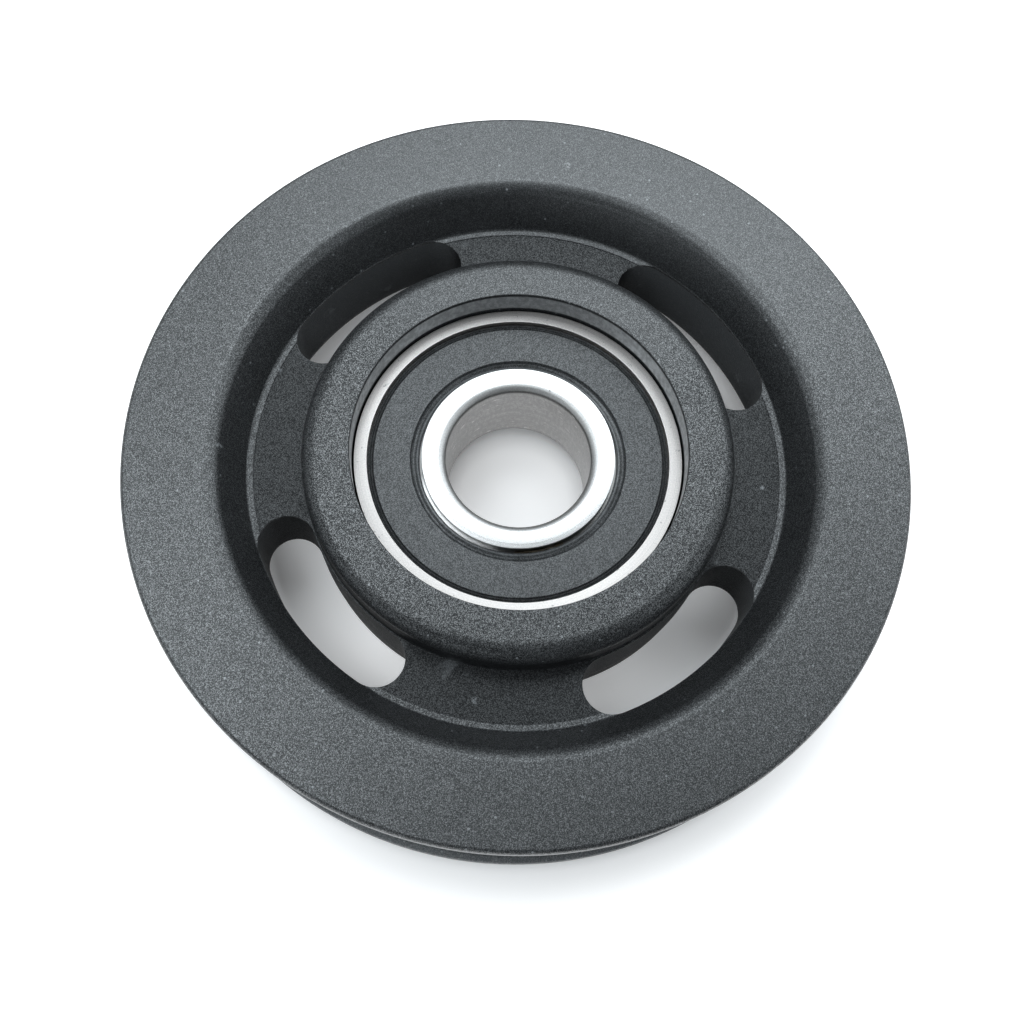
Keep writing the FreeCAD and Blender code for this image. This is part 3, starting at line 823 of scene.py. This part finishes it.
class PULLEY_OT_wheel(bpy.types.Operator):
    """Mould the wheel: hub, slotted web, dished rim and cable groove"""

    bl_idname = "pulley.wheel"
    bl_label = "Moulded Wheel"

    def execute(self, context):
        s = context.scene.pulley_wheel
        slope = s.groove_angle
        apex = s.groove_root + s.root_round - s.root_round / math.sin(slope)
        lip = (s.rim - apex) * math.tan(slope)
        bm = spin_section(wheel_corners(s, apex, lip), s.steps)
        dish_turn = math.atan2(s.face - s.web - s.strip_rise, s.dish_mouth - s.dish_foot)
        square = math.radians(90.0)
        roundings = [
            (apex, 0.0, s.root_round, math.pi - slope * 2, 14),
            (s.rim, lip, s.lip_round, square - slope, 4),
            (s.rim, s.face, s.rim_round, square, 6),
            (s.dish_mouth, s.face, s.mouth_round, dish_turn, 6),
            (s.hub, s.face, s.hub_round, square, 8),
            (s.hub, s.web, s.foot_round, square, 4),
            (s.recess, s.face, s.recess_round, square, 3),
            (s.strip, s.web + s.strip_rise, s.strip_round, square, 3),
            (s.dish_foot, s.web + s.strip_rise, s.wall_foot_round, dish_turn, 4),
        ]
        for radius, height, rounding, turn, segments in roundings:
            round_ring(bm, radius, height, rounding * math.tan(turn / 2), segments)
        finish = nylon_finish(context.scene.pulley_colours, s, context.scene.pulley_bearing)
        piece = make_piece("wheel_moulding", bm, finish, "wheel", "pulley_wheel")
        cut_slots(piece, s)
        weigh_normals(piece)
        return {"FINISHED"}


def race_corners(land, centre, radius):
    """Corners of a raceway between its two lands; a negative radius hollows it towards the bore."""
    reach = math.acos((land - centre) / radius)
    corners = []
    for place in range(RACE_STEPS + 1):
        turn = reach - 2 * reach * place / RACE_STEPS
        corners.append((centre + radius * math.cos(turn), radius * math.sin(turn)))
    return corners


def outer_ring_corners(s):
    upper = [
        (s.outside, s.face - s.outer_chamfer),
        (s.outside - s.outer_chamfer, s.face),
        (s.mouth, s.face),
        (s.mouth, s.undercut_top),
        (s.undercut, s.undercut_top),
        (s.undercut, s.seat),
        (s.outer_land, s.seat),
    ]
    lower = [(radius, -height) for radius, height in reversed(upper)]
    return upper + race_corners(s.outer_land, s.outer_race - s.race, s.race) + lower


def inner_ring_corners(s):
    upper = [
        (s.inner_land, s.land),
        (s.neck, s.land),
        (s.neck, s.face - s.neck + s.inner_face),
        (s.inner_face, s.face),
        (s.bore, s.face),
    ]
    lower = [(radius, -height) for radius, height in reversed(upper)]
    return upper + lower + race_corners(s.inner_land, s.inner_race + s.race, -s.race)


class PULLEY_OT_rings(bpy.types.Operator):
    """Grind the bearing's outer and inner rings"""

    bl_idname = "pulley.rings"
    bl_label = "Bearing Rings"

    def execute(self, context):
        s = context.scene.pulley_bearing
        colours = context.scene.pulley_colours
        finish = steel_finish("ground_outer_steel", colours.outer_steel, OUTER_ROUGHNESS, colours, s)
        bm = spin_section(outer_ring_corners(s), s.steps)
        round_ring(bm, s.mouth, s.face, s.ring_break, 2)
        round_ring(bm, s.outside - s.outer_chamfer, s.face, s.ring_break, 2)
        node = "bearing_outer_ring"
        weigh_normals(make_piece("outer_ring_ground", bm, finish, "wheel", node))
        finish = steel_finish("ground_inner_steel", colours.steel, INNER_ROUGHNESS, colours, s)
        bm = spin_section(inner_ring_corners(s), s.steps)
        round_ring(bm, s.inner_face, s.face, s.ring_break / 2, 2)
        round_ring(bm, s.bore, s.face, s.bore_round, 10)
        node = "bearing_inner_ring"
        weigh_normals(make_piece("inner_ring_ground", bm, finish, "inner_ring", node))
        return {"FINISHED"}


def seal_corners(bearing, s):
    """Cross-section of the upper seal: beaded rim, flat, ridged lip and heel over the land."""
    ridge = s.flat - s.ridge_drop
    valley = s.flat - s.valley_drop
    first_valley = s.flat_edge + s.bead_foot
    under = bearing.land + s.clearance
    heel = bearing.inner_land + s.clearance
    return [
        (bearing.undercut, bearing.seat),
        (bearing.undercut, bearing.undercut_top),
        (first_valley + s.bead_pitch * 2, bearing.undercut_top),
        (first_valley + s.bead_pitch * 1.5, s.flat),
        (first_valley + s.bead_pitch, bearing.undercut_top),
        (first_valley + s.bead_pitch * 0.5, s.flat),
        (first_valley, bearing.undercut_top),
        (s.flat_edge, s.flat),
        (s.lip_root, s.flat),
        (s.lip_root - s.lip_pitch * 0.5, valley),
        (s.lip_root - s.lip_pitch * 1.5, ridge),
        (s.lip_root - s.lip_pitch * 2.5, valley),
        (s.lip_root - s.lip_pitch * 3.5, ridge),
        (s.lip, valley),
        (s.lip, under),
        (heel, under),
        (heel + under - bearing.seat, bearing.seat),
    ]


def roughen_lip(bm, s):
    """Make the ridged lip a little uneven, as trimmed rubber is; its edge only draws back."""
    lip_end = s.lip_root + s.soft_edge * 2
    lip_floor = s.flat - s.valley_drop - SAME_PLACE
    for vert in bm.verts:
        radius = math.hypot(vert.co.x, vert.co.y)
        if radius > lip_end or vert.co.z < lip_floor:
            continue
        outward = Vector((vert.co.x, vert.co.y, 0.0)) / radius
        ridge = Vector((0.0, 0.0, radius / s.lip_pitch))
        slow = noise.noise(outward * 7.0 + ridge)
        quick = noise.noise(outward * 60.0 + ridge)
        push = s.ragged * (0.5 + slow * 0.7 + quick * 0.5)
        vert.co += outward * max(push, 0.0)


class PULLEY_OT_seals(bpy.types.Operator):
    """Mould the two rubber seals, with slightly ragged lips"""

    bl_idname = "pulley.seals"
    bl_label = "Rubber Seals"

    def execute(self, context):
        bearing = context.scene.pulley_bearing
        s = context.scene.pulley_seal
        finish = rubber_finish(context.scene.pulley_colours, s)
        corners = seal_corners(bearing, s)
        tops = [corner for corner in corners if corner[1] > bearing.undercut_top + SAME_PLACE]
        for node, turned_over in (("seal_upper", False), ("seal_lower", True)):
            bm = spin_section(corners, bearing.steps)
            for radius, height in tops:
                round_ring(bm, radius, height, s.soft_edge, 2)
            roughen_lip(bm, s)
            if turned_over:
                mirror = Matrix.Diagonal((1.0, 1.0, -1.0, 1.0))
                bmesh.ops.transform(bm, matrix=mirror, verts=bm.verts)
                bmesh.ops.recalc_face_normals(bm, faces=bm.faces)
            weigh_normals(make_piece(f"{node}_moulded", bm, finish, "wheel", node))
        return {"FINISHED"}


def taper(place):
    """From 0 at both ends to 1 in the middle part."""
    return min(1.0, place * 6.0, (1.0 - place) * 6.0)


class PULLEY_OT_grease(bpy.types.Operator):
    """Lay a lumpy trace of grease beside the upper seal's lip"""

    bl_idname = "pulley.grease"
    bl_label = "Lip Grease"

    def execute(self, context):
        bearing = context.scene.pulley_bearing
        s = context.scene.pulley_seal
        inner = bearing.neck + s.clearance / 4
        outer = s.lip - s.clearance / 4
        half = (outer - inner) / 2
        bm = bmesh.new()
        bmesh.ops.create_circle(bm, cap_ends=True, segments=12, radius=half)
        bmesh.ops.rotate(bm, verts=bm.verts, matrix=Matrix.Rotation(math.radians(90.0), 3, "X"))
        bmesh.ops.scale(bm, verts=bm.verts, vec=(1.0, 1.0, s.grease_rise / half / 2))
        lift = Vector((inner + half, 0.0, bearing.land + s.grease_rise / 2))
        bmesh.ops.translate(bm, verts=bm.verts, vec=lift)
        bmesh.ops.rotate(bm, verts=bm.verts, matrix=Matrix.Rotation(s.grease_start, 3, "Z"))
        bmesh.ops.spin(
            bm,
            geom=bm.faces[:] + bm.edges[:] + bm.verts[:],
            cent=(0.0, 0.0, 0.0),
            axis=(0.0, 0.0, 1.0),
            angle=s.grease_sweep,
            steps=GREASE_STEPS,
            use_merge=False,
        )
        bmesh.ops.remove_doubles(bm, verts=bm.verts, dist=SAME_PLACE / 10)
        for vert in bm.verts:
            turn = (math.atan2(vert.co.y, vert.co.x) - s.grease_start) % math.tau
            lump = 0.6 + noise.noise(vert.co / (MM * 0.6)) * 0.8
            rise = max(0.1, lump * taper(turn / s.grease_sweep))
            vert.co.z = bearing.land + (vert.co.z - bearing.land) * rise
        bmesh.ops.recalc_face_normals(bm, faces=bm.faces)
        finish = grease_finish(context.scene.pulley_colours)
        make_piece("lip_grease", bm, finish, "inner_ring")
        return {"FINISHED"}


class PULLEY_OT_inside(bpy.types.Operator):
    """Finish the balls, the cage and its rivets"""

    bl_idname = "pulley.inside"
    bl_label = "Balls and Cage"

    def execute(self, context):
        colours = context.scene.pulley_colours
        finishes = {"ball_steel": ball_finish(colours), "cage_steel": cage_finish(colours)}
        finishes["rivet_steel"] = finishes["cage_steel"]
        for part in frame["record"]["subparts"]:
            finish = finishes.get(part["material_slot"])
            if finish is None:
                continue
            mesh = frame["nodes"][part["node"]].data
            mesh.materials.clear()
            mesh.materials.append(finish)
        return {"FINISHED"}


def camera_axes(s):
    """The camera's place and its right, down and forward directions."""
    back = Vector((0.0, -math.cos(s.elevation), math.sin(s.elevation)))
    look = -back
    right = Vector((1.0, 0.0, 0.0))
    down = look.cross(right)
    cos = math.cos(s.roll)
    sin = math.sin(s.roll)
    rolled_right = right * cos + down * sin
    rolled_down = down * cos - right * sin
    aim_x, aim_y = ((value - IMAGE_SIZE / 2) / s.focal_px for value in s.aim_px)
    ray = Vector((aim_x, aim_y, 1.0)).normalized()
    swing = Vector((0.0, 0.0, 1.0)).rotation_difference(ray).to_matrix()
    base = Matrix((rolled_right, rolled_down, look))
    turn = Matrix.Rotation(s.turn, 3, "Z")
    rows = swing @ base
    place = turn @ (back * s.distance) + Vector((0.0, 0.0, s.aim_height))
    return place, [turn @ rows[index] for index in range(3)]


def add_camera(scene, s):
    """The camera that was fitted to the photograph."""
    place, (right, down, forward) = camera_axes(s)
    data = bpy.data.cameras.new("photo_camera")
    data.sensor_fit = "HORIZONTAL"
    data.sensor_width = SENSOR_MM
    data.lens = s.focal_px / IMAGE_SIZE * SENSOR_MM
    data.clip_start = CLIP_START
    data.clip_end = CLIP_END
    camera = bpy.data.objects.new("photo_camera", data)
    scene.collection.objects.link(camera)
    facing = Matrix((right, -down, -forward)).transposed().to_4x4()
    camera.matrix_world = Matrix.Translation(place) @ facing
    scene.camera = camera


def around(azimuth, elevation, distance):
    """A point at a direction and distance from the bore's middle."""
    level = distance * math.cos(elevation)
    height = distance * math.sin(elevation)
    return Vector((level * math.cos(azimuth), level * math.sin(azimuth), height))


def add_lamp(scene, name, azimuth, elevation, watts):
    """A softbox that faces the pulley."""
    data = bpy.data.lights.new(name, "AREA")
    data.shape = "SQUARE"
    data.size = LAMP_SIZE
    data.energy = watts
    data.color = scene.pulley_colours.lamp
    lamp = bpy.data.objects.new(name, data)
    scene.collection.objects.link(lamp)
    lamp.location = around(math.radians(azimuth), math.radians(elevation), LAMP_DISTANCE)
    lamp.rotation_euler = (-lamp.location).to_track_quat("-Z", "Y").to_euler()
    return lamp


def add_cloth(scene, name, azimuths, elevations, material):
    """A dark cloth in the white tent, part of a dome, that only reflections show."""
    bm = bmesh.new()
    low, high = (math.radians(value) for value in elevations)
    start, end = (math.radians(value) for value in azimuths)
    foot = bm.verts.new(around(start, low, CLOTH_DISTANCE))
    side = Vector((math.sin(start), -math.cos(start), 0.0))
    bmesh.ops.spin(
        bm,
        geom=[foot],
        cent=(0.0, 0.0, 0.0),
        axis=side,
        angle=high - low,
        steps=CLOTH_RISE_STEPS,
        use_merge=False,
    )
    bmesh.ops.spin(
        bm,
        geom=bm.verts[:] + bm.edges[:],
        cent=(0.0, 0.0, 0.0),
        axis=(0.0, 0.0, 1.0),
        angle=end - start,
        steps=CLOTH_TURN_STEPS,
        use_merge=False,
    )
    bmesh.ops.remove_doubles(bm, verts=bm.verts, dist=SAME_PLACE)
    mesh = bpy.data.meshes.new(name)
    bm.to_mesh(mesh)
    bm.free()
    cloth = bpy.data.objects.new(name, mesh)
    scene.collection.objects.link(cloth)
    mesh.materials.append(material)
    cloth.visible_camera = False
    cloth.visible_diffuse = False
    cloth.visible_shadow = False
    cloth.visible_transmission = False


def cloth_finish():
    """Black felt."""
    f = Finish("dark_cloth")
    felt = f.mix(f.noise(300.0), (0.015, 0.015, 0.015), (0.03, 0.03, 0.03))
    return f.surface(Base_Color=felt, Roughness=0.9)


def seen_directly(finish):
    """1 for rays that show the background: from the camera, mirrored or through glass."""
    path = finish.node("ShaderNodeLightPath", {}, {}, None)
    kinds = ("Is Camera Ray", "Is Glossy Ray", "Is Transmission Ray")
    camera, glossy, transmitted = (Wire(finish, path.outputs[kind]) for kind in kinds)
    return camera.most(glossy).most(transmitted)


def floor_finish(colours, wheel):
    """Pale floor kept white by a glow for direct and mirrored rays; the glow, set by radius and side,
    paints pools of light and shadows under the pulley beside the shadow that the lamps cast.
    """
    f = Finish("studio_floor")
    radius = f.radius()
    wear = f.noise(14.0, 3.0, 0.5)
    base = f.mix(wear * 0.06, tuple(colours.floor), tuple(value * 0.9 for value in colours.floor))
    stops = [(place * MM / GLOW_REACH, level) for place, level in FLOOR_GLOW]
    below_slots = f.past(radius, wheel.slot_inner, -5.2, -3.2)
    below_slots = below_slots * f.short_of(radius, wheel.slot_outer, -0.8, 0.7)
    # Painted shadow on the floor under the near slots, and in front of the rim on the shadow side.
    shade = below_slots * f.band(f.axis("Y"), -24.0 * MM, -13.0 * MM) * 0.55
    beside = f.past(radius, wheel.slot_inner, -3.2, -1.2) * f.short_of(radius, wheel.rim, 1.0, 8.0)
    front_shadow = beside * f.band(f.facing(SHADOW_SIDE), 0.5, 0.9) * 0.36
    glow = seen_directly(f) * f.ramp(radius / GLOW_REACH, *stops) * (1 - shade) * (1 - front_shadow)
    white = f.mix(glow, (0.0, 0.0, 0.0), tuple(colours.floor_glow))
    return f.surface(Base_Color=base, Roughness=0.6, Emission_Color=white, Emission_Strength=1.0)


def add_floor(scene):
    """A wide floor just below the pulley."""
    bm = bmesh.new()
    bmesh.ops.create_grid(bm, x_segments=1, y_segments=1, size=FLOOR_HALF_SIZE)
    bmesh.ops.translate(bm, verts=bm.verts, vec=(0.0, 0.0, CAD_BOX[0][2] - FLOOR_GAP))
    mesh = bpy.data.meshes.new("studio_floor")
    bm.to_mesh(mesh)
    bm.free()
    floor = bpy.data.objects.new("studio_floor", mesh)
    scene.collection.objects.link(floor)
    mesh.materials.append(floor_finish(scene.pulley_colours, scene.pulley_wheel))


def add_world(scene):
    """The white tent: white in the background and in reflections, dimmer on matt surfaces."""
    world = bpy.data.worlds.new("studio_world")
    world.use_nodes = True
    scene.world = world
    f = Finish("studio_world", world.node_tree)
    camera_ray = f.node("ShaderNodeLightPath", {}, {}, "Is Camera Ray")
    tint = f.mix(camera_ray, tuple(scene.pulley_colours.lamp), (1.0, 1.0, 1.0))
    strength = TENT_SHADE + seen_directly(f) * (1.0 - TENT_SHADE)
    shader = f.node("ShaderNodeBackground", {}, {"Color": tint, "Strength": strength})
    f.node("ShaderNodeOutputWorld", {}, {"Surface": shader}, None)


class PULLEY_OT_stage(bpy.types.Operator):
    """Set up the floor, the lamps, the surrounding light and the camera"""

    bl_idname = "pulley.stage"
    bl_label = "Studio"

    def execute(self, context):
        scene = context.scene
        add_floor(scene)
        for softbox in SOFTBOXES:
            add_lamp(scene, *softbox)
        add_lamp(scene, *FILL).visible_glossy = False
        black = cloth_finish()
        for name, azimuths, elevations in CLOTHS:
            add_cloth(scene, name, azimuths, elevations, black)
        add_world(scene)
        scene.view_settings.view_transform = "Standard"
        add_camera(scene, scene.pulley_stage)
        return {"FINISHED"}


class PULLEY_PT_panel(bpy.types.Panel):
    """Lists the steps that build the pulley"""

    bl_idname = "PULLEY_PT_panel"
    bl_label = "Idler Pulley"
    bl_space_type = "VIEW_3D"
    bl_region_type = "UI"
    bl_category = "Pulley"

    def draw(self, context):
        for operator in OPERATORS:
            self.layout.operator(operator.bl_idname)


GROUPS = {
    "pulley_wheel": WheelSizes,
    "pulley_bearing": BearingSizes,
    "pulley_seal": SealSizes,
    "pulley_colours": FinishColours,
    "pulley_stage": StageSettings,
}
OPERATORS = (
    PULLEY_OT_wheel,
    PULLEY_OT_rings,
    PULLEY_OT_seals,
    PULLEY_OT_grease,
    PULLEY_OT_inside,
    PULLEY_OT_stage,
)


def register():
    for name, group in GROUPS.items():
        bpy.utils.register_class(group)
        setattr(bpy.types.Scene, name, PointerProperty(type=group))
    for operator in OPERATORS:
        bpy.utils.register_class(operator)
    bpy.utils.register_class(PULLEY_PT_panel)


def unregister():
    bpy.utils.unregister_class(PULLEY_PT_panel)
    for operator in reversed(OPERATORS):
        bpy.utils.unregister_class(operator)
    for name, group in GROUPS.items():
        delattr(bpy.types.Scene, name)
        bpy.utils.unregister_class(group)


def main():
    register()
    bpy.ops.pulley.wheel()
    bpy.ops.pulley.rings()
    bpy.ops.pulley.seals()
    bpy.ops.pulley.grease()
    bpy.ops.pulley.inside()
    bpy.ops.pulley.stage()


if __name__ == "__main__":
    main()
